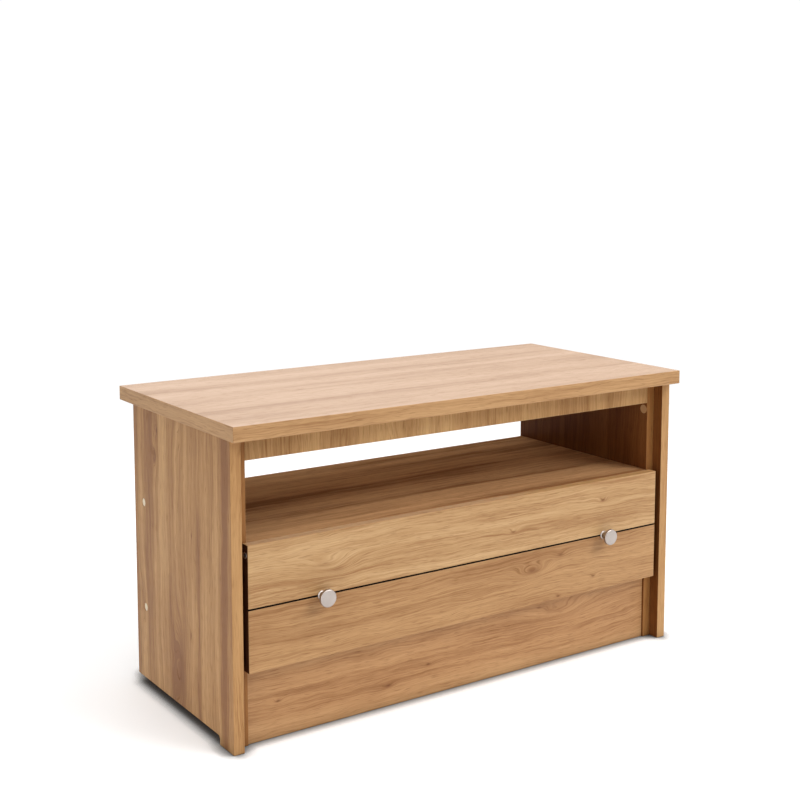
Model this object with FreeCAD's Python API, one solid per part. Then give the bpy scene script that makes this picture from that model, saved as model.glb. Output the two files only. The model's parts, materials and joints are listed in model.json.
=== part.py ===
"""Low television stand: an open bay over a compartment closed by one drop-down door.

All sizes are in millimetres.  X runs along the length, the front faces -Y and +Z is up.
The origin lies on the floor, under the middle of the top panel.
"""
import FreeCAD, Part
import math
import os

Vector = FreeCAD.Vector
X_AXIS = Vector(1, 0, 0)
Y_AXIS = Vector(0, 1, 0)

# ---------------------------------------------------------------- driving sizes
top_length = 800.0
top_depth = 372.0
top_thickness = 21.0
overall_height = 446.0

outer_side_thickness = 16.0
inner_side_thickness = 15.0
top_end_overhang = 4.0        # top beyond the outer face of each outer side
outer_front_setback = 18.0    # top's front edge to the outer sides' front edges
outer_back_setback = 41.0     # top's back edge to the outer sides' back edges
inner_back_setback = 14.0     # top's back edge to the inner sides' back edges
foot_depth = 41.0             # front foot of each outer side
foot_raise = 13.0             # how far the rest of an outer side stays off the floor
foot_corner_radius = 6.0

board_thickness = 16.0        # shelf, compartment floor, front rail and plinth
rail_height = 34.0
plinth_setback = 3.0          # behind the front edges of the inner sides
back_board_thickness = 3.0
back_board_inset = 1.0        # back board's face inside the back edges of the inner sides

door_bottom = 106.0           # height of the door's lower edge above the floor
door_height = 175.0
door_thickness = 15.0
door_recess = 2.0             # door's face behind the outer sides' front edges
door_edge_gap = 9.0           # between a door end and the outer side beside it
door_back_gap = 1.0           # between the closed door and the carcass behind it
groove_width = 2.6
groove_depth = 3.0

knob_end_distance = 112.5     # knob axis from the end of the door
knob_head_radius = 12.5
knob_stem_radius = 5.4
knob_projection = 19.0
knob_head_thickness = 5.0
knob_rim_radius = 1.6         # rounding of the head's edge
knob_flare_radius = 3.0       # curve between stem and head
knob_foot_radius = 6.6
knob_foot_height = 1.0
knob_foot_taper = 1.4
knob_screw_radius = 2.0
knob_screw_grip = 8.0         # thread inside the knob
knob_screw_head_height = 2.2
knob_screw_dimple_depth = 1.0

hinge_end_distance = 96.0     # middle of a hinge from the end of the door
hinge_length = 50.0
hinge_knuckles = 5
hinge_barrel_radius = 2.2
hinge_pin_radius = 1.2
hinge_leaf_thickness = 1.0
hinge_carcass_leaf_height = 14.0
hinge_door_leaf_height = 20.0
hinge_barrel_drop = 0.4       # free space between the barrel and the boards above it
hinge_screw_spacing = 17.0
hinge_screw_radius = 1.25
hinge_screw_length = 12.0

stay_pivot_rise = 100.0       # arm's pivot on the closed door, above the hinge axis
stay_pivot_standoff = 9.0     # arm's pivot behind the door's back face
stay_slot_pin_angle = 50.0    # slot pin seen from the hinge axis, above level, towards the back
stay_door_travel = 90.0       # door angle at which the end of the slot stops the arm
stay_arm_half_width = 6.0
stay_arm_thickness = 2.0
stay_side_space = 6.5         # arm's outer face from the inner side
stay_pin_radius = 2.0
stay_head_radius = 4.2
stay_head_thickness = 1.8
stay_plate_thickness = 2.0
stay_plate_length = 30.0
stay_plate_width = 18.0
stay_screw_radius = 1.6
stay_screw_length = 11.0

magnet_radius = 5.0
magnet_length = 12.0
magnet_end_distance = 65.0    # magnet axis from an inner side
strike_radius = 7.0
strike_thickness = 1.0
strike_spike_radius = 1.0
strike_spike_length = 7.0

edge_bush_radius = 4.75
edge_bush_bore_radius = 2.6
edge_bush_drop = 14.5         # bush axis below the door's top edge
edge_bush_rim = 0.8
edge_bush_length = 10.0
edge_bush_wall = 0.9

dowel_radius = 4.0
dowel_in_side = 10.0          # dowel length inside the panel it stands in
dowel_in_board = 20.0         # dowel length inside the board it holds
top_dowel_inset = 36.0        # from the front and back edges of a side
board_dowel_inset = 90.0      # from the front and back of the carcass
rail_dowel_inset = 9.0        # from the rail's upper and lower edges
plinth_dowel_inset = 28.0     # from the plinth's upper and lower edges
cam_radius = 7.5
cam_depth = 12.0
cam_distance = 34.0           # cam centre from the end of its board
cam_bolt_radius = 3.4
cam_bolt_anchor = 10.0        # bolt thread inside the mating panel
board_cam_inset = 42.0        # from the front and back of the carcass
top_cam_inset = 75.0          # from the front and back of the carcass
driver_slot_size = (1.4, 9.0, 1.5)
side_screw_radius = 2.0
side_screw_length = 24.0
side_screw_head_radius = 4.0
side_screw_head_height = 2.0
side_screw_pocket_depth = 4.0
outer_screw_inset = 31.5      # from an outer side's back edge
outer_screw_rise = 1.0        # above the shelf and above the compartment floor
inner_screw_drop = 11.0       # below the front rail
inner_screw_rise = 24.0       # above the compartment floor
outer_cap_radius = 6.0
inner_cap_radius = 7.0
cap_thickness = 1.2
outer_cap_recess = 0.7        # outer cap's face below the wood
inner_cap_proud = 0.6         # inner cap's face above the wood
inner_cap_margin = 1.5        # between an inner cap and the panel's front edge
nail_radius = 0.8
nail_length = 18.0
nail_head_radius = 2.0
nail_head_height = 0.6
nail_row_count = 6
nail_end_inset = 40.0

# ---------------------------------------------------------------- clearances
pin_clearance = 0.06          # radial, of every turning or sliding pin
part_gap = 0.3                # between parts that pass each other
bore_clearance = 0.1          # radial, around dowels, bolts, cams and caps
bore_end_clearance = 0.5      # beyond the end of a fastener

# ---------------------------------------------------------------- derived places
top_underside = overall_height - top_thickness
top_front = -top_depth / 2
top_back = top_depth / 2
outer_face = top_length / 2 - top_end_overhang
side_joint = outer_face - outer_side_thickness      # where an outer and an inner side meet
opening_half = side_joint - inner_side_thickness    # inner faces of the inner sides
outer_front = top_front + outer_front_setback
outer_back = top_back - outer_back_setback
door_face = outer_front + door_recess
door_back = door_face + door_thickness
carcass_front = door_back + door_back_gap
carcass_back = top_back - inner_back_setback
board_back = carcass_back - back_board_inset - back_board_thickness
door_top = door_bottom + door_height
door_half = side_joint - door_edge_gap
door_middle_y = (door_face + door_back) / 2
floor_bottom = door_bottom
floor_top = floor_bottom + board_thickness
shelf_top = door_top
shelf_bottom = shelf_top - board_thickness
rail_bottom = top_underside - rail_height
plinth_front = carcass_front + plinth_setback
knob_x = door_half - knob_end_distance
knob_z = door_bottom + door_height / 2
hinge_x = door_half - hinge_end_distance
hinge_y = (door_back + carcass_front) / 2
hinge_z = door_bottom - hinge_barrel_drop - hinge_barrel_radius

LEFT = -1
RIGHT = 1
SIDE_NAMES = {LEFT: "left", RIGHT: "right"}

parts = {}
carcass_bores = []
door_bores = []


# ---------------------------------------------------------------- helpers
def box(x_a, x_b, y_a, y_b, z_a, z_b):
    """A block between two corners, whichever way round they are given."""
    low = Vector(min(x_a, x_b), min(y_a, y_b), min(z_a, z_b))
    return Part.makeBox(abs(x_b - x_a), abs(y_b - y_a), abs(z_b - z_a), low)


def rod(radius, start, end):
    """A round bar from one point to another."""
    path = end - start
    return Part.makeCylinder(radius, path.Length, start, path)


def cone(radius_start, radius_end, start, end):
    """A round taper from one point to another."""
    path = end - start
    return Part.makeCone(radius_start, radius_end, path.Length, start, path)


def stretched(start, end, before, after):
    """The two points moved apart along their own line."""
    along = (end - start).normalize()
    return start - along * before, end + along * after


def bore_for(radius, start, end, open_start=False):
    """The hole for a fastener between two points: wider, longer and, if asked, open at its start."""
    before = 1.0 if open_start else bore_end_clearance
    low, high = stretched(start, end, before, bore_end_clearance)
    return rod(radius + bore_clearance, low, high)


def cut_bores(panel, bores):
    """The panel with every bore that reaches it."""
    reaching = [bore for bore in bores if panel.BoundBox.intersect(bore.BoundBox)]
    return panel.cut(reaching) if reaching else panel


def save_group(name, solids):
    """Keep one solid, or several identical ones, as a node."""
    parts[name] = solids[0] if len(solids) == 1 else Part.makeCompound(solids)


# ---------------------------------------------------------------- fasteners
def countersunk_screw(surface, direction, radius, length):
    """A wood screw whose flat head lies level with the surface it enters."""
    head_depth = radius
    neck = surface + direction * head_depth
    head = cone(2 * radius, radius, surface, neck)
    taper_start = surface + direction * (length - 2 * radius)
    shank = rod(radius, neck, taper_start)
    tip = cone(radius, radius / 3, taper_start, surface + direction * length)
    return head.fuse([shank, tip]).removeSplitter()


def countersunk_bore(surface, direction, radius, length):
    """The hole that a countersunk screw of the same size sits in."""
    wide = radius + bore_clearance
    head = cone(2 * radius + bore_clearance, wide, surface, surface + direction * radius)
    shank = rod(wide, surface, surface + direction * (length + bore_end_clearance))
    return head.fuse(shank)


def add_dowels(name, dowels, bores):
    """A node of wooden dowels, given as pairs of end points, with their blind holes."""
    save_group(name, [rod(dowel_radius, start, end) for start, end in dowels])
    bores.extend(bore_for(dowel_radius, start, end) for start, end in dowels)


def build_dowels():
    """Dowels of every fixed joint; each pair of places repeats on both sides."""
    top_dowels = []
    shelf_dowels = []
    floor_dowels = []
    rail_dowels = []
    plinth_dowels = []
    inner_middle = opening_half + inner_side_thickness / 2
    outer_middle = side_joint + outer_side_thickness / 2
    rail_y = carcass_front + board_thickness / 2
    plinth_y = plinth_front + board_thickness / 2
    for side in (LEFT, RIGHT):
        for x, y in (
            (inner_middle, carcass_front + top_dowel_inset),
            (inner_middle, carcass_back - top_dowel_inset),
            (outer_middle, outer_front + top_dowel_inset),
            (outer_middle, outer_back - top_dowel_inset),
        ):
            foot = Vector(side * x, y, top_underside - dowel_in_board)
            head = Vector(side * x, y, top_underside + dowel_in_side)
            top_dowels.append((foot, head))

        start_x = side * (opening_half - dowel_in_board)
        end_x = side * (opening_half + dowel_in_side)
        for y in (carcass_front + board_dowel_inset, carcass_back - board_dowel_inset):
            for group, z in ((shelf_dowels, shelf_top), (floor_dowels, floor_top)):
                height = z - board_thickness / 2
                group.append((Vector(start_x, y, height), Vector(end_x, y, height)))
        for z in (rail_bottom + rail_dowel_inset, top_underside - rail_dowel_inset):
            rail_dowels.append((Vector(start_x, rail_y, z), Vector(end_x, rail_y, z)))
        for z in (plinth_dowel_inset, floor_bottom - plinth_dowel_inset):
            plinth_dowels.append((Vector(start_x, plinth_y, z), Vector(end_x, plinth_y, z)))
    add_dowels("top_dowels", top_dowels, carcass_bores)
    add_dowels("shelf_dowels", shelf_dowels, carcass_bores)
    add_dowels("floor_dowels", floor_dowels, carcass_bores)
    add_dowels("rail_dowels", rail_dowels, carcass_bores)
    add_dowels("plinth_dowels", plinth_dowels, carcass_bores)


def cam_lock(mouth, inward, towards_bolt, anchor_distance):
    """A round cam in its pocket and the bolt it pulls, which ends in the neighbouring panel."""
    centre = mouth + inward * (board_thickness / 2)
    housing = rod(cam_radius, mouth, mouth + inward * cam_depth)
    width, length, depth = driver_slot_size
    driver_slot = Part.makeBox(width, length, depth, Vector(-width / 2, -length / 2, 0))
    driver_slot.Placement = FreeCAD.Placement(mouth, FreeCAD.Rotation(Vector(0, 0, 1), inward))
    bolt_end = centre + towards_bolt * (anchor_distance + cam_bolt_anchor)
    bolt_way = rod(cam_bolt_radius + bore_clearance, centre, bolt_end)
    housing = housing.cut([driver_slot, bolt_way])
    bolt = rod(cam_bolt_radius, centre + towards_bolt * bore_clearance, bolt_end)
    pocket_start, pocket_end = stretched(mouth, mouth + inward * cam_depth, 1, bore_end_clearance)
    pocket = rod(cam_radius + bore_clearance, pocket_start, pocket_end)
    return housing, bolt, [pocket, bore_for(cam_bolt_radius, centre, bolt_end)]


def build_cam_locks():
    """Cams under the shelf and the compartment floor, and in the inner sides under the top."""
    housings = []
    bolts = []
    up = Vector(0, 0, 1)
    for side in (LEFT, RIGHT):
        outwards = Vector(side, 0, 0)
        locks = []
        for underside in (shelf_bottom, floor_bottom):
            for y in (carcass_front + board_cam_inset, carcass_back - board_cam_inset):
                mouth = Vector(side * (opening_half - cam_distance), y, underside)
                locks.append(cam_lock(mouth, up, outwards, cam_distance))
        for y in (carcass_front + top_cam_inset, carcass_back - top_cam_inset):
            mouth = Vector(side * opening_half, y, top_underside - cam_distance)
            locks.append(cam_lock(mouth, outwards, up, cam_distance))
        for housing, bolt, bores in locks:
            housings.append(housing)
            bolts.append(bolt)
            carcass_bores.extend(bores)
    save_group("cam_housings", housings)
    save_group("cam_bolts", bolts)


def capped_screw(surface, inward, cap_radius, cap_sink):
    """A screw in a round pocket, with a plastic cap that closes the pocket's mouth."""
    pocket_floor = surface + inward * side_screw_pocket_depth
    head_top = pocket_floor - inward * side_screw_head_height
    head = rod(side_screw_head_radius, head_top, pocket_floor)
    tip = pocket_floor + inward * (side_screw_length - side_screw_pocket_depth)
    screw = head.fuse(rod(side_screw_radius, pocket_floor, tip)).removeSplitter()
    cap_face = surface + inward * cap_sink
    cap = rod(cap_radius, cap_face, cap_face + inward * cap_thickness)
    rim = [edge for edge in cap.Edges if abs((edge.CenterOfMass - cap_face).dot(inward)) < 0.01]
    cap = cap.makeFillet(0.4 * cap_thickness, rim)
    pocket = rod(side_screw_head_radius + bore_clearance, surface - inward, pocket_floor)
    pilot = rod(side_screw_radius + bore_clearance, pocket_floor, tip + inward * bore_end_clearance)
    seat_floor = cap_face + inward * cap_thickness
    cap_seat = rod(cap_radius + bore_clearance, surface - inward, seat_floor)
    return screw, cap, [pocket, pilot, cap_seat]


def build_side_screws():
    """Screws that hold each outer side to its inner side: two from outside, two from inside."""
    screws = []
    outer_caps = []
    inner_caps = []
    for side in (LEFT, RIGHT):
        for z in (shelf_top + outer_screw_rise, floor_top + outer_screw_rise):
            surface = Vector(side * outer_face, outer_back - outer_screw_inset, z)
            inward = Vector(-side, 0, 0)
            screw, cap, bores = capped_screw(surface, inward, outer_cap_radius, outer_cap_recess)
            screws.append(screw)
            outer_caps.append(cap)
            carcass_bores.extend(bores)
        for z in (rail_bottom - inner_screw_drop, floor_top + inner_screw_rise):
            y = carcass_front + inner_cap_margin + inner_cap_radius
            surface = Vector(side * opening_half, y, z)
            inward = Vector(side, 0, 0)
            screw, cap, bores = capped_screw(surface, inward, inner_cap_radius, -inner_cap_proud)
            screws.append(screw)
            inner_caps.append(cap)
            carcass_bores.extend(bores)
    save_group("side_screws", screws)
    save_group("outer_screw_caps", outer_caps)
    save_group("inner_screw_caps", inner_caps)


def build_back_board_nails():
    """Nails through the back board into the back edges of the shelf and the compartment floor."""
    nails = []
    face_y = board_back + back_board_thickness
    row_start = -opening_half + nail_end_inset
    pitch = -2 * row_start / (nail_row_count - 1)
    for index in range(nail_row_count):
        x = row_start + index * pitch
        for z in (shelf_top - board_thickness / 2, floor_top - board_thickness / 2):
            face = Vector(x, face_y, z)
            head = rod(nail_head_radius, face, face + Y_AXIS * nail_head_height)
            tip = face - Y_AXIS * nail_length
            nails.append(head.fuse(rod(nail_radius, tip, face)).removeSplitter())
            carcass_bores.append(bore_for(nail_radius, face, tip, True))
    save_group("back_board_nails", nails)


# ---------------------------------------------------------------- panels
def outer_side(side):
    """An outer side: full height at its front foot, raised off the floor behind it."""
    panel = box(side * side_joint, side * outer_face, outer_front, outer_back, 0, top_underside)
    foot_back = outer_front + foot_depth
    notch = box(
        side * (side_joint - 1),
        side * (outer_face + 1),
        foot_back,
        outer_back + 1,
        -1,
        foot_raise,
    )
    rounded = [
        edge
        for edge in notch.Edges
        if abs(edge.CenterOfMass.y - foot_back) < 0.01 and abs(edge.CenterOfMass.z - foot_raise) < 0.01
    ]
    return panel.cut(notch.makeFillet(min(foot_corner_radius, foot_raise / 2), rounded))


def build_panels():
    """Every fixed board, drilled for its fasteners."""
    panels = {
        "top_panel": box(
            -top_length / 2, top_length / 2, top_front, top_back, top_underside, overall_height
        ),
        "front_rail": box(
            -opening_half,
            opening_half,
            carcass_front,
            carcass_front + board_thickness,
            rail_bottom,
            top_underside,
        ),
        "shelf": box(
            -opening_half, opening_half, carcass_front, board_back, shelf_bottom, shelf_top
        ),
        "compartment_floor": box(
            -opening_half, opening_half, carcass_front, board_back, floor_bottom, floor_top
        ),
        "back_board": box(
            -opening_half,
            opening_half,
            board_back,
            board_back + back_board_thickness,
            floor_bottom,
            shelf_top - 1,
        ),
        "plinth": box(
            -opening_half,
            opening_half,
            plinth_front,
            plinth_front + board_thickness,
            0,
            floor_bottom,
        ),
    }
    for side in (LEFT, RIGHT):
        name = SIDE_NAMES[side]
        panels[name + "_outer_side"] = outer_side(side)
        panels[name + "_inner_side"] = box(
            side * opening_half,
            side * side_joint,
            carcass_front,
            carcass_back,
            0,
            top_underside,
        )
    for name, panel in panels.items():
        parts[name] = cut_bores(panel, carcass_bores)


def build_door():
    """The one-piece drop-down door, with the groove that divides its face in two."""
    door = box(-door_half, door_half, door_face, door_back, door_bottom, door_top)
    groove = box(
        -door_half - 1,
        door_half + 1,
        door_face - 1,
        door_face + groove_depth,
        knob_z - groove_width / 2,
        knob_z + groove_width / 2,
    )
    parts["drop_door"] = cut_bores(door.cut(groove), door_bores)


# ---------------------------------------------------------------- door fittings
def knob(side):
    """A turned knob: a flat disc on a slim stem, with a blind hole for its screw."""
    head_back = knob_projection - knob_head_thickness
    head_radius = knob_head_radius
    stem_radius = knob_stem_radius
    rim = knob_rim_radius
    flare = knob_flare_radius
    foot_top = knob_foot_height + knob_foot_taper
    bulge = 1 - math.sqrt(0.5)    # middle of a quarter arc, as a share of its radius

    def at(radius, distance):
        return Vector(radius, door_face - distance, 0)

    def quarter_arc(start, middle, end):
        return Part.Arc(at(*start), at(*middle), at(*end)).toShape()

    def line(start, end):
        return Part.makeLine(at(*start), at(*end))

    foot_edge = (knob_foot_radius, knob_foot_height)
    flare_start = (stem_radius, head_back - flare)
    flare_end = (stem_radius + flare, head_back)
    back_rim = (head_radius - rim, head_back)
    side_back = (head_radius, head_back + rim)
    side_front = (head_radius, knob_projection - rim)
    face_rim = (head_radius - rim, knob_projection)
    outline = [
        line((0, 0), (knob_foot_radius, 0)),
        line((knob_foot_radius, 0), foot_edge),
        line(foot_edge, (stem_radius, foot_top)),
        line((stem_radius, foot_top), flare_start),
        quarter_arc(flare_start, (stem_radius + flare * bulge, head_back - flare * bulge), flare_end),
        line(flare_end, back_rim),
        quarter_arc(back_rim, (head_radius - rim * bulge, head_back + rim * bulge), side_back),
        line(side_back, side_front),
        quarter_arc(
            side_front,
            (head_radius - rim * bulge, knob_projection - rim * bulge),
            face_rim,
        ),
        line(face_rim, (0, knob_projection)),
        line((0, knob_projection), (0, 0)),
    ]
    turned = Part.Face(Part.Wire(outline)).revolve(Vector(0, 0, 0), Y_AXIS, 360)
    turned.translate(Vector(side * knob_x, 0, knob_z))
    mouth = Vector(side * knob_x, door_face, knob_z)
    bottom = mouth - Y_AXIS * (knob_screw_grip + bore_end_clearance)
    return turned.cut(rod(knob_screw_radius + bore_clearance, mouth, bottom))


def build_knobs():
    """Both knobs, and the screws that reach them from inside the door."""
    screws = []
    for side in (LEFT, RIGHT):
        parts[SIDE_NAMES[side] + "_knob"] = knob(side)
        seat = Vector(side * knob_x, door_back, knob_z)
        tip = Vector(side * knob_x, door_face - knob_screw_grip, knob_z)
        head_top = seat + Y_AXIS * knob_screw_head_height
        head = rod(2 * knob_screw_radius, seat, head_top)
        dimple_floor = head_top - Y_AXIS * knob_screw_dimple_depth
        dimple = rod(0.9 * knob_screw_radius, dimple_floor, head_top + Y_AXIS)
        screws.append(head.fuse(rod(knob_screw_radius, tip, seat)).cut(dimple).removeSplitter())
        door_bores.append(rod(knob_screw_radius + bore_clearance, tip, seat + Y_AXIS))
    save_group("knob_screws", screws)


def hinge_leaf(middle_x, plate, knuckle_indices):
    """A leaf: its plate, its own knuckles and the short necks between them."""
    pitch = hinge_length / hinge_knuckles
    leaf = plate
    for index in knuckle_indices:
        start_x = middle_x - hinge_length / 2 + index * pitch + part_gap / 2
        end_x = start_x + pitch - part_gap
        plate_box = plate.BoundBox
        neck = box(start_x, end_x, plate_box.YMin, plate_box.YMax, hinge_z, plate_box.ZMin + 1)
        barrel = rod(
            hinge_barrel_radius,
            Vector(start_x, hinge_y, hinge_z),
            Vector(end_x, hinge_y, hinge_z),
        )
        leaf = leaf.fuse([neck, barrel])
    pin_way = rod(
        hinge_pin_radius + pin_clearance,
        Vector(middle_x - hinge_length, hinge_y, hinge_z),
        Vector(middle_x + hinge_length, hinge_y, hinge_z),
    )
    return leaf.removeSplitter().cut(pin_way)


def build_hinges():
    """Two butt hinges along the door's lower edge, let into the door and the floor's front edge."""
    carcass_screws = []
    fitting_screws = []
    for side in (LEFT, RIGHT):
        name = SIDE_NAMES[side] + "_hinge_"
        middle = side * hinge_x
        low_x = middle - hinge_length / 2
        high_x = middle + hinge_length / 2
        carcass_plate = box(
            low_x,
            high_x,
            carcass_front,
            carcass_front + hinge_leaf_thickness,
            floor_bottom,
            floor_bottom + hinge_carcass_leaf_height,
        )
        door_plate = box(
            low_x,
            high_x,
            door_back - hinge_leaf_thickness,
            door_back,
            door_bottom,
            door_bottom + hinge_door_leaf_height,
        )
        carcass_bores.append(recess_for(carcass_plate))
        door_bores.append(recess_for(door_plate))
        carcass_leaf = hinge_leaf(middle, carcass_plate, range(0, hinge_knuckles, 2))
        door_leaf = hinge_leaf(middle, door_plate, range(1, hinge_knuckles, 2))
        parts[name + "pin"] = rod(
            hinge_pin_radius,
            Vector(low_x, hinge_y, hinge_z),
            Vector(high_x, hinge_y, hinge_z),
        )
        for offset in (-hinge_screw_spacing, 0, hinge_screw_spacing):
            x = middle + offset
            carcass_place = Vector(x, carcass_front, floor_bottom + board_thickness / 2)
            door_place = Vector(x, door_back, door_bottom + 0.65 * hinge_door_leaf_height)
            size = (hinge_screw_radius, hinge_screw_length)
            carcass_screws.append(countersunk_screw(carcass_place, Y_AXIS, *size))
            carcass_hole = countersunk_bore(carcass_place, Y_AXIS, *size)
            carcass_bores.append(carcass_hole)
            carcass_leaf = carcass_leaf.cut(carcass_hole)
            fitting_screws.append(countersunk_screw(door_place, -Y_AXIS, *size))
            door_hole = countersunk_bore(door_place, -Y_AXIS, *size)
            door_bores.append(door_hole)
            door_leaf = door_leaf.cut(door_hole)
        parts[name + "carcass_leaf"] = carcass_leaf
        parts[name + "door_leaf"] = door_leaf
    save_group("hinge_carcass_screws", carcass_screws)
    save_group("hinge_door_screws", fitting_screws)


def recess_for(plate):
    """The shallow pocket that a hinge plate lies in, open towards the gap and downwards."""
    edges = plate.BoundBox
    towards_gap = 0.5
    deep_y, open_y = edges.YMin, edges.YMax + towards_gap
    if edges.YMin > hinge_y:
        deep_y, open_y = edges.YMax, edges.YMin - towards_gap
    return box(
        edges.XMin - bore_clearance,
        edges.XMax + bore_clearance,
        deep_y,
        open_y,
        edges.ZMin - 1,
        edges.ZMax + bore_clearance,
    )


def stay_geometry():
    """Pivot and slot pin lie equally far from the hinge axis, so the arm turns half as fast
    as the door and its slot always points at the pin."""
    pivot_offset_y = door_back + stay_pivot_standoff - hinge_y
    radius = math.hypot(pivot_offset_y, stay_pivot_rise)
    pivot_angle = math.degrees(math.atan2(stay_pivot_rise, pivot_offset_y))
    closed_spread = pivot_angle - stay_slot_pin_angle
    return {
        "pivot_y": hinge_y + pivot_offset_y,
        "pivot_z": hinge_z + stay_pivot_rise,
        "pin_y": hinge_y + radius * math.cos(math.radians(stay_slot_pin_angle)),
        "pin_z": hinge_z + radius * math.sin(math.radians(stay_slot_pin_angle)),
        "arm_angle": (pivot_angle + stay_slot_pin_angle) / 2 - 90,
        "near": 2 * radius * math.sin(math.radians(closed_spread / 2)),
        "far": 2 * radius * math.sin(math.radians((closed_spread + stay_door_travel) / 2)),
    }


def stadium(x_a, x_b, radius, start, end):
    """A flat bar with round ends, between two distances along Y."""
    bar = box(x_a, x_b, start, end, -radius, radius)
    ends = [rod(radius, Vector(x_a, y, 0), Vector(x_b, y, 0)) for y in (start, end)]
    return bar.fuse(ends).removeSplitter()


def build_stays():
    """A slotted steel arm on each side: it pivots on the door and slides over a fixed pin."""
    place = stay_geometry()
    screws = []
    arm_outer = opening_half - stay_side_space
    arm_inner = arm_outer - stay_arm_thickness
    ear_outer = arm_inner - part_gap
    ear_inner = ear_outer - stay_plate_thickness
    for side in (LEFT, RIGHT):
        name = SIDE_NAMES[side] + "_stay_"
        arm = stadium(
            side * arm_inner,
            side * arm_outer,
            stay_arm_half_width,
            0,
            place["far"] + 1,
        )
        slot = stadium(
            side * (arm_inner - 1),
            side * (arm_outer + 1),
            stay_pin_radius + pin_clearance,
            place["near"] - part_gap,
            place["far"] + part_gap,
        )
        pivot_hole = rod(
            stay_pin_radius + pin_clearance,
            Vector(side * (arm_inner - 1), 0, 0),
            Vector(side * (arm_outer + 1), 0, 0),
        )
        arm = arm.cut([slot, pivot_hole])
        arm.Placement = FreeCAD.Placement(
            Vector(0, place["pivot_y"], place["pivot_z"]),
            FreeCAD.Rotation(X_AXIS, place["arm_angle"]),
        )
        parts[name + "arm"] = arm

        def across(x, point):
            return Vector(side * x, place[point + "_y"], place[point + "_z"])

        outer_head = arm_outer + part_gap
        parts[name + "rivet"] = rod(
            stay_pin_radius, across(ear_inner, "pivot"), across(outer_head, "pivot")
        ).fuse([
            rod(
                stay_head_radius,
                across(outer_head, "pivot"),
                across(outer_head + stay_head_thickness, "pivot"),
            ),
            rod(
                stay_head_radius,
                across(ear_inner - stay_head_thickness, "pivot"),
                across(ear_inner, "pivot"),
            ),
        ]).removeSplitter()

        pin_tip = opening_half + inner_side_thickness - 4
        parts[name + "slot_pin"] = rod(
            stay_pin_radius, across(arm_inner - part_gap, "pin"), across(pin_tip, "pin")
        ).fuse([
            rod(stay_head_radius, across(outer_head, "pin"), across(opening_half, "pin")),
            rod(
                stay_head_radius,
                across(arm_inner - part_gap - stay_head_thickness, "pin"),
                across(arm_inner - part_gap, "pin"),
            ),
        ]).removeSplitter()
        carcass_bores.append(
            bore_for(stay_pin_radius, across(opening_half, "pin"), across(pin_tip, "pin"), True)
        )

        half = stay_plate_length / 2
        base = box(
            side * (ear_outer - stay_plate_width),
            side * ear_outer,
            door_back,
            door_back + stay_plate_thickness,
            place["pivot_z"] - half,
            place["pivot_z"] + half,
        )
        ear = rod(half / 2, across(ear_inner, "pivot"), across(ear_outer, "pivot")).fuse(
            box(
                side * ear_inner,
                side * ear_outer,
                door_back,
                place["pivot_y"],
                place["pivot_z"] - half / 2,
                place["pivot_z"] + half / 2,
            )
        )
        bracket = base.fuse(ear).removeSplitter().cut(
            rod(stay_pin_radius, across(ear_inner - 1, "pivot"), across(ear_outer + 1, "pivot"))
        )
        for offset in (-half * 0.65, half * 0.65):
            surface = Vector(
                side * (ear_inner - stay_plate_width / 2),
                door_back + stay_plate_thickness,
                place["pivot_z"] + offset,
            )
            hole = countersunk_bore(surface, -Y_AXIS, stay_screw_radius, stay_screw_length)
            screws.append(
                countersunk_screw(surface, -Y_AXIS, stay_screw_radius, stay_screw_length)
            )
            bracket = bracket.cut(hole)
            door_bores.append(hole)
        parts[name + "bracket"] = bracket
    save_group("stay_bracket_screws", screws)


def build_catches():
    """Round magnets in the shelf's front edge, and the steel discs on the door that they hold."""
    height = shelf_top - board_thickness / 2
    for side in (LEFT, RIGHT):
        name = SIDE_NAMES[side] + "_catch_"
        x = side * (opening_half - magnet_end_distance)
        magnet_face = door_back + part_gap
        parts[name + "magnet"] = rod(
            magnet_radius,
            Vector(x, magnet_face, height),
            Vector(x, magnet_face + magnet_length, height),
        )
        carcass_bores.append(
            rod(
                magnet_radius + bore_clearance,
                Vector(x, carcass_front - 1, height),
                Vector(x, magnet_face + magnet_length, height),
            )
        )
        disc_back = Vector(x, door_back - strike_thickness, height)
        disc = rod(strike_radius, disc_back, Vector(x, door_back, height))
        spike_tip = disc_back - Y_AXIS * strike_spike_length
        spike = rod(strike_spike_radius, spike_tip, disc_back)
        parts[name + "strike"] = disc.fuse(spike).removeSplitter()
        door_bores.append(
            rod(strike_radius + bore_clearance, disc_back, disc_back + Y_AXIS * 3)
        )
        door_bores.append(bore_for(strike_spike_radius, disc_back, spike_tip))


def build_edge_bushes():
    """A plated bush with a round rim in each end of the door, near its top."""
    height = door_top - edge_bush_drop
    for side in (LEFT, RIGHT):
        sleeve_start = Vector(side * (door_half - edge_bush_length), door_middle_y, height)
        edge = Vector(side * door_half, door_middle_y, height)
        rim_end = Vector(side * (door_half + edge_bush_rim), door_middle_y, height)
        sleeve_radius = edge_bush_bore_radius + edge_bush_wall
        sleeve = rod(sleeve_radius, sleeve_start, edge)
        rim = rod(edge_bush_radius, edge, rim_end)
        bore = rod(
            edge_bush_bore_radius,
            sleeve_start + Vector(side * edge_bush_wall, 0, 0),
            rim_end + Vector(side, 0, 0),
        )
        parts[SIDE_NAMES[side] + "_edge_bush"] = sleeve.fuse(rim).removeSplitter().cut(bore)
        door_bores.append(
            rod(sleeve_radius + bore_clearance, sleeve_start, edge + Vector(side, 0, 0))
        )


# ---------------------------------------------------------------- the whole stand
build_dowels()
build_cam_locks()
build_side_screws()
build_back_board_nails()
build_knobs()
build_hinges()
build_stays()
build_catches()
build_edge_bushes()
build_panels()
build_door()

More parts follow.
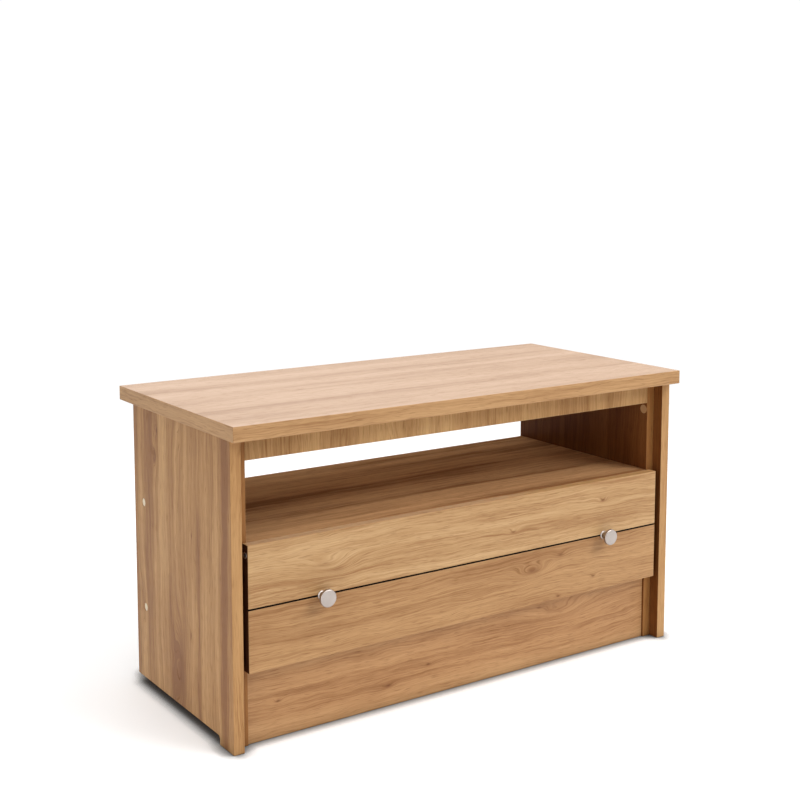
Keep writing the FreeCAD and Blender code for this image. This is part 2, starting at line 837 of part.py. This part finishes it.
os.makedirs("parts", exist_ok=True)
for part_name, shape in parts.items():
    if not shape.isValid():
        print("not valid:", part_name)
    shape.exportStep("parts/" + part_name + ".step")
print(len(parts), "nodes")
for key, value in stay_geometry().items():
    print(key, round(value, 3))
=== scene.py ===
"""Looks of a low oak-finish television unit with a drop-down door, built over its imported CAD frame.

All lengths are metres, in the frame of the CAD model: x along the unit, y from front to back, z up.
"""

import json
import math

import bmesh
import bpy
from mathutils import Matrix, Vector


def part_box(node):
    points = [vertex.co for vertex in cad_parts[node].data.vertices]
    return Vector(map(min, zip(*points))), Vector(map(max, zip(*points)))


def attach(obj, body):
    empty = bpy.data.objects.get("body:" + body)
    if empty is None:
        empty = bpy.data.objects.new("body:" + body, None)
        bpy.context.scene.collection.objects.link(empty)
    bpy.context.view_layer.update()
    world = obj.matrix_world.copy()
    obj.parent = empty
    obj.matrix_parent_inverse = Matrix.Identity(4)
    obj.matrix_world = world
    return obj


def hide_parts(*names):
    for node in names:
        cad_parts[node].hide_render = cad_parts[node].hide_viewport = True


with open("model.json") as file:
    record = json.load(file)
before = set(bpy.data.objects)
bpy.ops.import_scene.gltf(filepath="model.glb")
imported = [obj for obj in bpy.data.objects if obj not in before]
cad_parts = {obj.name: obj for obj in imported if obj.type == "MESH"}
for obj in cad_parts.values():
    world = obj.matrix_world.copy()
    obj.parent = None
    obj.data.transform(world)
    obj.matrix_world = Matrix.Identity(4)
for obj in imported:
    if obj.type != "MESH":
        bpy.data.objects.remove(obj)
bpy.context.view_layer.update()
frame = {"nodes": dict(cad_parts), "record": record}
nodes = frame["nodes"]
bodies = frame["record"]["behaviour"]["bodies"]
slots = {part["node"]: part["material_slot"] for part in frame["record"]["subparts"]}
body_of_node = {node: body for body, members in bodies.items() for node in members}

AXES = "XYZ"
MM = 0.001
SHARP = math.radians(50)      # least angle between two faces whose shared edge is eased
SHORTEST_ARRIS = 30 * MM
ON_FACE = 0.05 * MM           # a point this near the board's box lies on its face
SMOOTH_BELOW = math.radians(40)


# ---------------------------------------------------------------- materials


def linear(red, green, blue):
    """A colour given on the usual 0 to 255 screen scale, as linear light."""

    def one(value):
        value /= 255
        return value / 12.92 if value <= 0.04045 else ((value + 0.055) / 1.055) ** 2.4

    return (one(red), one(green), one(blue), 1.0)


class Graph:
    """A material and short ways to write its nodes."""

    def __init__(self, name):
        self.material = bpy.data.materials.new(name)
        self.material.use_nodes = True
        self.nodes = self.material.node_tree.nodes
        self.links = self.material.node_tree.links
        self.shader = self.nodes["Principled BSDF"]
        place = self.nodes.new("ShaderNodeTexCoord")
        self.place = place.outputs["Object"]
        split = self.nodes.new("ShaderNodeSeparateXYZ")
        self.links.new(self.place, split.inputs[0])
        self.axis = dict(zip(AXES, split.outputs))

    def put(self, socket, value):
        if isinstance(value, bpy.types.NodeSocket):
            self.links.new(value, socket)
        else:
            socket.default_value = value

    def math(self, operation, first, second=0.0, third=0.0, clamp=False):
        node = self.nodes.new("ShaderNodeMath")
        node.operation = operation
        node.use_clamp = clamp
        for socket, value in zip(node.inputs, (first, second, third)):
            self.put(socket, value)
        return node.outputs[0]

    def scaled(self, value, factor, offset=0.0):
        return self.math("MULTIPLY_ADD", value, factor, offset)

    def join(self, x, y, z):
        node = self.nodes.new("ShaderNodeCombineXYZ")
        for socket, value in zip(node.inputs, (x, y, z)):
            self.put(socket, value)
        return node.outputs[0]

    def noise(self, vector, detail=2.0, roughness=0.5, scale=1.0):
        node = self.nodes.new("ShaderNodeTexNoise")
        self.put(node.inputs["Vector"], vector)
        node.inputs["Scale"].default_value = scale
        node.inputs["Detail"].default_value = detail
        node.inputs["Roughness"].default_value = roughness
        return node.outputs["Fac"]

    def cells(self, vector):
        """Distance to the nearest cell's point, and that cell's random value."""
        node = self.nodes.new("ShaderNodeTexVoronoi")
        self.put(node.inputs["Vector"], vector)
        node.inputs["Scale"].default_value = 1.0
        split = self.nodes.new("ShaderNodeSeparateColor")
        self.links.new(node.outputs["Color"], split.inputs[0])
        return node.outputs["Distance"], split.outputs[0]

    def ramp(self, value, stops):
        """The colour at value on a ramp with stops of (place, colour)."""
        node = self.nodes.new("ShaderNodeValToRGB")
        elements = node.color_ramp.elements
        while len(elements) < len(stops):
            elements.new(0.5)
        for element, (place, colour) in zip(elements, stops):
            element.position = place
            element.color = colour
        self.put(node.inputs[0], value)
        return node.outputs[0]

    def mix(self, share, first, second):
        """A colour between first and second."""
        node = self.nodes.new("ShaderNodeMix")
        node.data_type = "RGBA"
        self.put(node.inputs[0], share)
        colours = [socket for socket in node.inputs if socket.type == "RGBA"]
        self.put(colours[0], first)
        self.put(colours[1], second)
        return next(socket for socket in node.outputs if socket.type == "RGBA")

    def falloff(self, squared, sharpness):
        """exp of minus sharpness times a squared distance."""
        return self.math("EXPONENT", self.math("MULTIPLY", squared, -sharpness))

    def bump(self, height, depth, strength):
        node = self.nodes.new("ShaderNodeBump")
        node.inputs["Strength"].default_value = strength
        node.inputs["Distance"].default_value = depth
        self.put(node.inputs["Height"], height)
        self.links.new(node.outputs[0], self.shader.inputs["Normal"])

    def finish(self, colour, roughness, metallic=0.0, specular=0.5):
        self.put(self.shader.inputs["Base Color"], colour)
        self.put(self.shader.inputs["Roughness"], roughness)
        self.shader.inputs["Metallic"].default_value = metallic
        self.shader.inputs["Specular IOR Level"].default_value = specular
        return self.material


# Each kind of board: light, middle and dark tone, strength of the broad streaks, strength of the
# fine grain, the share of random knot sites that hold a knot, and how glossy the decor is.
TONES = {
    # top_oak: paler and pinker than the other boards, partly the decor's tone and partly a painted
    # sheen of the bright surroundings
    "top_oak": ((196, 165, 139), (181, 148, 120), (158, 123, 94), 1.25, 0.9, 0.08, 0.3),
    "top_edge": ((197, 155, 108), (179, 137, 92), (152, 108, 66), 0.5, 1.4, 0.0, 0.3),
    "door_oak": ((203, 166, 121), (183, 144, 98), (156, 112, 69), 1.0, 1.5, 0.12, 0.3),
    "door_low_oak": ((188, 146, 99), (166, 123, 79), (140, 95, 54), 1.0, 1.5, 0.12, 0.28),
    # plinth_oak: the decor set a little darker and redder than the door, partly as painted shade
    # under the door's proud lower edge
    "plinth_oak": ((196, 152, 105), (175, 129, 84), (142, 96, 56), 1.1, 1.3, 0.14, 0.3),
    "rail_oak": ((202, 162, 111), (178, 136, 88), (144, 101, 60), 1.0, 1.1, 0.1, 0.15),
    "side_oak": ((198, 155, 104), (169, 124, 76), (138, 92, 53), 2.1, 1.2, 0.16, 0.2),
    "edge_oak": ((196, 154, 104), (180, 136, 88), (156, 111, 66), 0.8, 1.2, 0.0, 0.2),
    # end_oak: a dark tone that is painted shade, for the door's ends in the narrow gaps beside them
    "end_oak": ((84, 50, 30), (62, 33, 18), (40, 18, 9), 0.8, 1.0, 0.0, 0.05),
    # inner_edge_oak: darker and more orange than edge_oak, partly as painted shade on the inner
    # sides' edges
    "inner_edge_oak": ((170, 122, 70), (152, 102, 55), (120, 74, 38), 0.9, 1.0, 0.0, 0.15),
    # inner_oak: a dark tone that is painted shade, for faces towards the middle of the unit
    "inner_oak": ((130, 82, 42), (110, 64, 29), (84, 44, 18), 0.9, 1.0, 0.12, 0.05),
    "shelf_oak": ((208, 163, 116), (184, 140, 98), (142, 99, 64), 1.8, 1.4, 0.08, 0.0),
    "back_oak": ((176, 136, 92), (158, 116, 75), (134, 92, 56), 0.9, 1.0, 0.1, 0.25),
}

made_woods = {}


def oak(family, along, across, knots=()):
    """Printed oak decor: wavy grain along one axis that parts around knots, with pores and streaks.

    The pattern is the level lines of a height over the board, in metres. knots holds given
    ones as (place along, place across, length, width, bulge in the grain, darkness of the core).
    """
    key = (family, along, across, tuple(knots))
    if key in made_woods:
        return made_woods[key]
    light, middle, dark, streaks, fine, knot_share, gloss = TONES[family]
    g = Graph("_".join((family, along.lower(), across.lower(), str(len(knots)))))
    depth_axis = next(axis for axis in AXES if axis not in (along, across))
    a = g.axis[along]
    c = g.axis[across]
    layer = g.scaled(g.axis[depth_axis], 5.3, sorted(TONES).index(family) * 3.7)

    drift = g.noise(g.join(g.scaled(a, 2.1), g.scaled(c, 7.0), layer), 1.5)
    ripple = g.noise(g.join(g.scaled(a, 17.0), g.scaled(c, 46.0), layer), 2.0)
    height = g.math("ADD", c, g.scaled(drift, 0.034, -0.017))
    height = g.math("ADD", height, g.scaled(ripple, 0.009, -0.0045))

    # knots at random sites, each a small bulge in the grain with a dark core
    warp = g.scaled(ripple, 0.5, -0.25)
    site = g.join(
        g.math("ADD", g.scaled(a, 6.5), warp),
        g.math("ADD", g.scaled(c, 19.0), warp),
        layer,
    )
    distance, chance = g.cells(site)
    squared = g.math("MULTIPLY", distance, distance)
    chosen = g.math("GREATER_THAN", chance, 1.0 - knot_share)
    bulge = g.math("MULTIPLY", chosen, g.falloff(squared, 18.0))
    height = g.math("ADD", height, g.scaled(bulge, 0.009))
    core = g.math("MULTIPLY", chosen, g.falloff(squared, 420.0))
    halo = g.math("MULTIPLY", chosen, g.falloff(squared, 40.0))

    for place, level, length, width, grain_bulge, darkness in knots:
        u = g.scaled(g.math("ADD", a, g.scaled(drift, 0.02, -0.01)), 1 / length, -place / length)
        v = g.scaled(g.math("ADD", c, g.scaled(ripple, 0.004, -0.002)), 1 / width, -level / width)
        squared = g.math("ADD", g.math("MULTIPLY", u, u), g.math("MULTIPLY", v, v))
        height = g.math("ADD", height, g.scaled(g.falloff(squared, 1.0), grain_bulge))
        core = g.math("ADD", core, g.scaled(g.falloff(squared, 9.0), darkness))
        halo = g.math("ADD", halo, g.scaled(g.falloff(squared, 2.0), 0.6))

    broad = g.noise(g.join(g.scaled(height, 30.0), g.scaled(a, 0.8), layer), 2.0)
    bands = g.noise(g.join(g.scaled(height, 105.0), g.scaled(a, 2.2), layer), 3.0, 0.6)
    lines = g.noise(g.join(g.scaled(height, 480.0), g.scaled(a, 9.0), layer), 4.0, 0.75)
    pores = g.noise(g.join(g.scaled(height, 1000.0), g.scaled(a, 45.0), layer), 1.0)
    blotch = g.noise(g.join(g.scaled(a, 6.0), g.scaled(c, 16.0), layer), 2.0)

    value = g.scaled(broad, 1.1 * streaks, 0.5 - 0.55 * streaks)
    value = g.math("ADD", value, g.scaled(bands, 0.62 * fine, -0.31 * fine))
    value = g.math("ADD", value, g.scaled(lines, 1.15 * fine, -0.575 * fine))
    value = g.math("ADD", value, g.scaled(blotch, 0.5, -0.25))
    value = g.math("SUBTRACT", value, g.scaled(halo, 0.22), clamp=True)

    colour = g.ramp(
        value,
        [(0.08, linear(*dark)), (0.45, linear(*middle)), (0.92, linear(*light))],
    )
    fleck = g.math("SMOOTH_MIN", g.scaled(pores, -6.0, 2.55), 1.0, 0.2, clamp=True)
    pore_colour = linear(*(share * value for share, value in zip((0.82, 0.76, 0.66), dark)))
    colour = g.mix(g.scaled(fleck, 0.52), colour, pore_colour)
    knot_colour = linear(*(share * value for share, value in zip((0.72, 0.56, 0.42), dark)))
    colour = g.mix(g.math("MULTIPLY", core, 0.9, clamp=True), colour, knot_colour)

    roughness = g.math("ADD", g.scaled(fleck, 0.14, 0.4), g.scaled(lines, 0.1))
    relief = g.math("SUBTRACT", g.scaled(lines, 0.5), g.scaled(fleck, 0.6))
    g.bump(relief, 0.15 * MM, 0.35)
    made_woods[key] = g.finish(colour, roughness, specular=gloss)
    return made_woods[key]


def metal(name, colour, roughness, grain=900.0, wear=0.12):
    """Bare or plated metal with fine cloudy variation and handling marks."""
    g = Graph(name)
    cloud = g.noise(g.place, 3.0, 0.6, 60.0)
    fine = g.noise(g.place, 2.0, 0.5, grain)
    low = linear(*(0.86 * value for value in colour))
    high = linear(*(min(255, 1.04 * value) for value in colour))
    tint = g.mix(g.math("ADD", g.scaled(cloud, 0.7), g.scaled(fine, 0.3), clamp=True), low, high)
    spread = g.math(
        "ADD",
        g.scaled(cloud, wear, roughness - wear / 2),
        g.scaled(fine, 0.08, -0.04),
    )
    g.bump(fine, 0.04 * MM, 0.2)
    return g.finish(tint, spread, metallic=1.0)


def satin(name):
    """Satin nickel plate: cloudy, with a very fine matt grain."""
    g = Graph(name)
    cloud = g.noise(g.place, 3.0, 0.6, 45.0)
    fine = g.noise(g.place, 2.0, 0.5, 1400.0)
    tint = g.mix(cloud, linear(158, 148, 142), linear(184, 175, 169))
    g.bump(fine, 0.03 * MM, 0.25)
    spread = g.math("ADD", g.scaled(cloud, 0.1, 0.25), g.scaled(fine, 0.06))
    return g.finish(tint, spread, metallic=1.0)


def plastic(name, colour, roughness, grain=700.0):
    """Moulded plastic with a fine matt texture and slight yellowing."""
    g = Graph(name)
    cloud = g.noise(g.place, 3.0, 0.6, 90.0)
    fine = g.noise(g.place, 2.0, 0.5, grain)
    low = linear(*(value * share for value, share in zip(colour, (0.95, 0.93, 0.88))))
    tint = g.mix(cloud, low, linear(*colour))
    g.bump(fine, 0.05 * MM, 0.3)
    return g.finish(tint, g.scaled(fine, 0.15, roughness - 0.07))


def beech(name):
    """Pale dowel wood with short flecks and a fluted, compressed surface."""
    g = Graph(name)
    stretch = zip(AXES, (240.0, 240.0, 90.0))
    stretched = g.join(*(g.scaled(g.axis[axis], scale) for axis, scale in stretch))
    fibre = g.noise(stretched, 3.0, 0.6)
    fleck = g.noise(g.place, 2.0, 0.5, 900.0)
    tint = g.ramp(
        fibre,
        [
            (0.2, linear(176, 134, 92)),
            (0.5, linear(206, 168, 124)),
            (0.85, linear(224, 192, 152)),
        ],
    )
    tint = g.mix(g.scaled(fleck, 0.35), tint, linear(150, 106, 70))
    g.bump(fibre, 0.1 * MM, 0.4)
    return g.finish(tint, g.scaled(fibre, 0.2, 0.55))


def dark_cut(name):
    """The unlit, unsealed bottom of the narrow groove in the door."""
    g = Graph(name)
    fibre = g.noise(g.place, 3.0, 0.6, 400.0)
    tint = g.mix(fibre, linear(14, 8, 5), linear(34, 20, 11))
    g.bump(fibre, 0.1 * MM, 0.5)
    return g.finish(tint, g.scaled(fibre, 0.2, 0.75), specular=0.1)


hardware = {
    "satin_nickel": satin("satin_nickel"),
    "beech_dowel": beech("beech_dowel"),
    "cast_zinc": metal("cast_zinc", (168, 168, 166), 0.48, 500.0),
    "magnet": plastic("magnet_ferrite", (62, 60, 60), 0.5),
    "cream_plastic": plastic("cream_plastic", (236, 222, 196), 0.42),
    "oak_plastic": plastic("oak_plastic", (182, 136, 84), 0.42),
    "plated_steel": metal("plated_steel", (188, 188, 186), 0.33),
}
for node, item in nodes.items():
    if slots.get(node) in hardware:
        item.data.materials.clear()
        item.data.materials.append(hardware[slots[node]])


# ---------------------------------------------------------------- boards


def join_frame(item, node):
    """The piece stands for the CAD node: it joins the node's body, and the node is hidden."""
    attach(item, body_of_node[node])
    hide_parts(node)


def depth_inside(point, low, high):
    """How far inside the box from low to high a point is, along each axis."""
    return [
        min(abs(point[index] - low[index]), abs(high[index] - point[index])) for index in range(3)
    ]


def is_long_arris(edge, low, high):
    """A long sharp edge where two outer faces of a board meet."""
    if len(edge.link_faces) != 2 or edge.calc_face_angle(0.0) < SHARP:
        return False
    if edge.calc_length() < SHORTEST_ARRIS:
        return False
    middle = (edge.verts[0].co + edge.verts[1].co) / 2
    return sum(depth < ON_FACE for depth in depth_inside(middle, low, high)) >= 2


def is_corner_arris(edge, low, high, thin):
    """An outside corner edge of a board that runs through its thickness."""
    if len(edge.link_faces) != 2 or edge.calc_face_angle(0.0) < SHARP:
        return False
    run = edge.verts[0].co - edge.verts[1].co
    if abs(abs(run[thin]) - (high[thin] - low[thin])) > 0.2 * MM:
        return False
    middle = (edge.verts[0].co + edge.verts[1].co) / 2
    depths = depth_inside(middle, low, high)
    return all(depths[index] < ON_FACE for index in range(3) if index != thin)


def finished_board(
    node, face_family, edge_family, grain, softness=0.6 * MM, knots=(), other=None
):
    """A board with eased edges: its two decor faces carry one wood, its edge bands another.

    grain is the axis along which the decor's grain runs. other may give a face a different wood: it
    is called with the face and returns a family, or None for the usual one.
    """
    mesh = nodes[node].data.copy()
    mesh.materials.clear()
    item = bpy.data.objects.new(node + "_board", mesh)
    bpy.context.scene.collection.objects.link(item)
    work = bmesh.new()
    work.from_mesh(mesh)
    bmesh.ops.remove_doubles(work, verts=work.verts, dist=0.01 * MM)
    bmesh.ops.dissolve_limit(work, angle_limit=math.radians(1), verts=work.verts, edges=work.edges)
    low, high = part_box(node)
    size = high - low
    thin = min(range(3), key=lambda index: size[index])
    arrises = [edge for edge in work.edges if is_long_arris(edge, low, high)]
    taken = set(arrises)
    untaken = [edge for edge in work.edges if edge not in taken]
    arrises += [edge for edge in untaken if is_corner_arris(edge, low, high, thin)]
    bmesh.ops.bevel(
        work,
        geom=arrises,
        offset=softness,
        offset_type="OFFSET",
        segments=3,
        profile=0.5,
        affect="EDGES",
        clamp_overlap=True,
    )
    palette = []
    for face in work.faces:
        normal = face.normal
        facing = max(range(3), key=lambda index: abs(normal[index]))
        face.smooth = abs(normal[facing]) < 0.999 and face.calc_area() < 0.01
        if facing == thin and abs(normal[facing]) > 0.9:
            across = next(axis for axis in AXES if axis not in (grain, AXES[thin]))
            family = other(face) if other else None
            wood = oak(family or face_family, grain, across, knots)
        else:
            flat = [index for index in range(3) if index != facing]
            flat.sort(key=lambda index: -size[index])
            family = other(face) if other and facing != thin else None
            wood = oak(family or edge_family, AXES[flat[0]], AXES[flat[1]])
        if wood not in palette:
            palette.append(wood)
        face.material_index = palette.index(wood)
    for wood in palette:
        mesh.materials.append(wood)
    work.to_mesh(mesh)
    work.free()
    join_frame(item, node)
    return item


# Knots listed one by one, as oak() takes them. Their places are metres in the object's frame.
door_knots = (
    (0.112, 0.160, 0.034, 0.011, 0.020, 0.4),
    (0.075, 0.228, 0.014, 0.005, 0.006, 0.8),
    (0.257, 0.250, 0.013, 0.005, 0.005, 0.9),
    (-0.255, 0.236, 0.045, 0.012, 0.014, 0.2),
    (-0.235, 0.226, 0.030, 0.009, 0.008, 0.3),
    (0.237, 0.130, 0.010, 0.004, 0.004, 0.7),
    (0.164, 0.111, 0.010, 0.004, 0.003, 0.9),
    (0.168, 0.176, 0.016, 0.006, 0.007, 0.6),
)
plinth_knots = (
    (-0.317, 0.050, 0.012, 0.004, 0.004, 0.9),
    (-0.135, 0.030, 0.014, 0.005, 0.005, 0.8),
    (-0.065, 0.047, 0.011, 0.004, 0.004, 0.9),
    (0.180, 0.080, 0.060, 0.014, 0.016, 0.1),
)
side_knots = (
    (0.060, -0.010, 0.090, 0.020, 0.030, 0.25),
    (0.265, -0.048, 0.012, 0.004, 0.004, 0.9),
    (0.398, 0.062, 0.016, 0.005, 0.007, 0.9),
    (0.360, 0.068, 0.022, 0.007, 0.010, 0.6),
    (0.123, -0.042, 0.014, 0.005, 0.005, 0.7),
)
door_low, door_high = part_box("drop_door")
groove_level = (door_low.z + door_high.z) / 2


def faces_inward(face):
    """A side's face towards the middle of the unit, always in shade, takes a dark tone that is
    painted shade.
    """
    inward = abs(face.normal.x) > 0.9 and face.normal.x * face.calc_center_median().x < 0
    return "inner_oak" if inward else None


def door_faces(face):
    """The door's ends take a dark tone that is painted shade of the narrow gaps beside them; its
    front below the groove is coloured darker.
    """
    if abs(face.normal.x) > 0.9:
        return "end_oak"
    low_front = face.normal.y < -0.9 and face.calc_center_median().z < groove_level
    return "door_low_oak" if low_front else None


finished_board("top_panel", "top_oak", "top_edge", "X", 0.8 * MM)
finished_board(
    "left_outer_side", "side_oak", "edge_oak", "Z", knots=side_knots, other=faces_inward
)
finished_board("right_outer_side", "side_oak", "edge_oak", "Z", other=faces_inward)
finished_board("left_inner_side", "side_oak", "inner_edge_oak", "Z", other=faces_inward)
finished_board("right_inner_side", "side_oak", "inner_edge_oak", "Z", other=faces_inward)
finished_board("front_rail", "rail_oak", "rail_oak", "Z")
finished_board("shelf", "shelf_oak", "shelf_oak", "X")
finished_board("compartment_floor", "shelf_oak", "shelf_oak", "X")
finished_board("plinth", "plinth_oak", "edge_oak", "X", knots=plinth_knots)
finished_board("back_board", "back_oak", "back_oak", "X", 0.3 * MM)
door = finished_board(
    "drop_door", "door_oak", "edge_oak", "X", knots=door_knots, other=door_faces
)

# the groove's faces lie within these; the groove itself is 3.0 mm deep and 2.6 mm wide
GROOVE_DEPTH = 3.2 * MM
GROOVE_HALF_WIDTH = 1.45 * MM
groove = dark_cut("groove_shadow")
door.data.materials.append(groove)
groove_slot = len(door.data.materials) - 1
for face in door.data.polygons:
    middle = face.center
    inside = door_low.y + ON_FACE < middle.y < door_low.y + GROOVE_DEPTH
    if inside and abs(middle.z - groove_level) < GROOVE_HALF_WIDTH:
        face.material_index = groove_slot


# ---------------------------------------------------------------- turned pieces


def turned(name, profile, centre, outward, node, material, steps=96):
    """A piece turned about the line through centre along outward.

    profile is a list of (distance out, radius) pairs; a radius of zero closes the piece.
    """
    outward = Vector(outward)
    side = outward.orthogonal().normalized()
    other = outward.cross(side)
    mesh = bpy.data.meshes.new(name)
    work = bmesh.new()
    rings = []
    for along, radius in profile:
        if radius < 1e-6:
            rings.append([work.verts.new(centre + outward * along)])
            continue
        ring = []
        for step in range(steps):
            turn = 2 * math.pi * step / steps
            spoke = side * math.cos(turn) + other * math.sin(turn)
            ring.append(work.verts.new(centre + outward * along + spoke * radius))
        rings.append(ring)
    for first, second in zip(rings, rings[1:]):
        for step in range(steps):
            after = (step + 1) % steps
            corners = [first[step % len(first)], first[after % len(first)]]
            corners += [second[after % len(second)], second[step % len(second)]]
            unique = list(dict.fromkeys(corners))
            if len(unique) > 2:
                work.faces.new(unique)
    bmesh.ops.remove_doubles(work, verts=work.verts, dist=0.001 * MM)
    bmesh.ops.recalc_face_normals(work, faces=work.faces)
    for face in work.faces:
        face.smooth = True
    for edge in work.edges:
        edge.smooth = edge.calc_face_angle(0.0) < SMOOTH_BELOW
    work.to_mesh(mesh)
    work.free()
    mesh.materials.append(material)
    item = bpy.data.objects.new(name, mesh)
    bpy.context.scene.collection.objects.link(item)
    join_frame(item, node)


def arc(centre, radius, start, end, steps=8):
    """Profile points on an arc; start and end are angles in degrees from the outward line."""
    points = []
    for step in range(steps + 1):
        angle = math.radians(start + (end - start) * step / steps)
        points.append((centre[0] + radius * math.cos(angle), centre[1] + radius * math.sin(angle)))
    return points


for side in ("left", "right"):
    low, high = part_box(side + "_knob")
    centre = Vector(((low.x + high.x) / 2, high.y, (low.z + high.z) / 2))
    reach = high.y - low.y
    radius = (high.x - low.x) / 2
    rim = 1.6 * MM
    stem = 5.4 * MM
    flare = 3 * MM
    hole = 2.1 * MM           # the blind hole for the knob's screw
    hole_depth = 8.1 * MM
    head_back = reach - 5 * MM
    profile = [(hole_depth, 0.0), (hole_depth, hole), (0.0, hole)]
    profile += [(0.0, 6.4 * MM), (0.2 * MM, 6.6 * MM), (1.0 * MM, 6.6 * MM)]
    profile += [(2.4 * MM, stem), (head_back - flare, stem)]
    profile += arc((head_back - flare, stem + flare), flare, -90, 0)[1:]
    profile += [(head_back, radius - 0.5 * MM), (head_back + 0.5 * MM, radius)]
    profile += arc((reach - rim, radius - rim), rim, 90, 0, 12)
    profile += [(reach, 3 * MM), (reach, 0.0)]
    name = side + "_knob"
    turned(name + "_turned", profile, centre, (0, -1, 0), name, hardware["satin_nickel"])

    low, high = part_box(side + "_edge_bush")
    outward = 1 if low.x > 0 else -1
    root = Vector((low.x if outward > 0 else high.x, (low.y + high.y) / 2, (low.z + high.z) / 2))
    reach = high.x - low.x
    flange = (high.z - low.z) / 2
    bore = 2.6 * MM
    barrel = bore + 0.9 * MM
    under_flange = reach - 0.8 * MM
    easing = 0.4 * MM
    profile = [(0.0, bore), (0.0, barrel), (under_flange, barrel)]
    profile += [(under_flange, flange - 0.1 * MM)]
    profile += arc((reach - easing, flange - easing), easing, 90, 0, 6)
    profile += [(reach, bore + 0.5 * MM), (reach - 0.5 * MM, bore), (0.0, bore)]
    name = side + "_edge_bush"
    turned(name + "_turned", profile, root, (outward, 0, 0), name, hardware["satin_nickel"], 64)


# ---------------------------------------------------------------- floor, light and camera


def area_light(name, place, target, power, width, height):
    """A soft rectangular lamp at place that faces target; power is in watts."""
    data = bpy.data.lights.new(name, "AREA")
    data.shape = "RECTANGLE"
    data.size = width
    data.size_y = height
    data.energy = power
    lamp = bpy.data.objects.new(name, data)
    lamp.location = place
    lamp.rotation_mode = "QUATERNION"
    lamp.rotation_quaternion = (Vector(target) - Vector(place)).to_track_quat("-Z", "Y")
    bpy.context.scene.collection.objects.link(lamp)


floor_mesh = bpy.data.meshes.new("studio_floor")
work = bmesh.new()
bmesh.ops.create_grid(work, x_segments=8, y_segments=8, size=1.9)
bmesh.ops.translate(work, verts=work.verts, vec=(0, 0, -0.3 * MM))
work.to_mesh(floor_mesh)
work.free()
floor = bpy.data.objects.new("studio_floor", floor_mesh)
bpy.context.scene.collection.objects.link(floor)
paper = Graph("floor_paper")
mottle = paper.noise(paper.place, 3.0, 0.6, 30.0)
# painted contact shadow: an ambient occlusion test darkens the floor's colour towards near black and
# dims its even white glow within about 22 mm of the unit
painted_shadow_occlusion = paper.nodes.new("ShaderNodeAmbientOcclusion")
painted_shadow_occlusion.inputs["Distance"].default_value = 22 * MM
painted_shadow_occlusion.samples = 8
painted_shadow_openness = paper.math("POWER", painted_shadow_occlusion.outputs["AO"], 2.5)
painted_contact_shadow = (0.06, 0.055, 0.05, 1)
sheet = (0.9, 0.9, 0.9, 1)
floor_mesh.materials.append(
    paper.finish(paper.mix(painted_shadow_openness, painted_contact_shadow, sheet), paper.scaled(mottle, 0.1, 0.85), specular=0.0)
)
paper.put(paper.shader.inputs["Emission Strength"], paper.scaled(painted_shadow_openness, 0.26))
paper.shader.inputs["Emission Color"].default_value = (1, 1, 1, 1)

world = bpy.data.worlds.new("studio_white")
bpy.context.scene.world = world
world.use_nodes = True
sky = world.node_tree.nodes
wires = world.node_tree.links
background = sky["Background"]
background.inputs["Color"].default_value = (1, 1, 1, 1)
rays = sky.new("ShaderNodeLightPath")
seen = sky.new("ShaderNodeMath")
seen.operation = "MAXIMUM"
wires.new(rays.outputs["Is Camera Ray"], seen.inputs[0])
wires.new(rays.outputs["Is Glossy Ray"], seen.inputs[1])
level = sky.new("ShaderNodeMapRange")
level.inputs["To Min"].default_value = 0.15
level.inputs["To Max"].default_value = 1.02
wires.new(seen.outputs[0], level.inputs["Value"])
wires.new(level.outputs[0], background.inputs["Strength"])

area_light("key_front_right", (2.4, -3.2, 3.1), (0, 0, 0.2), 138, 2.5, 2.5)
area_light("soft_overhead", (-0.1, -0.2, 3.0), (0, 0, 0), 80, 3.2, 3.2)
area_light("fill_left", (-3.0, -1.2, 1.3), (0, 0, 0.2), 23, 2.2, 2.2)
area_light("fill_back", (0.6, 2.6, 2.8), (0, 0, 0.2), 25, 2.5, 2.0)

camera_data = bpy.data.cameras.new("view_camera")
camera_data.sensor_width = 36.0
camera_data.lens = 60.252
camera_data.shift_y = -0.12
camera_data.clip_start = 0.05
camera_data.clip_end = 60
camera = bpy.data.objects.new("view_camera", camera_data)
bpy.context.scene.collection.objects.link(camera)
bpy.context.scene.camera = camera
camera.location = (-1.1646, -1.6921, 0.7932)
pitch = math.radians(6.442)
yaw = math.radians(-34.146)
flat = math.cos(pitch)
forward = Vector((-math.sin(yaw) * flat, math.cos(yaw) * flat, -math.sin(pitch)))
camera.rotation_mode = "QUATERNION"
camera.rotation_quaternion = forward.to_track_quat("-Z", "Y")

look = bpy.context.scene.view_settings
look.view_transform = "Standard"
look.look = "None"
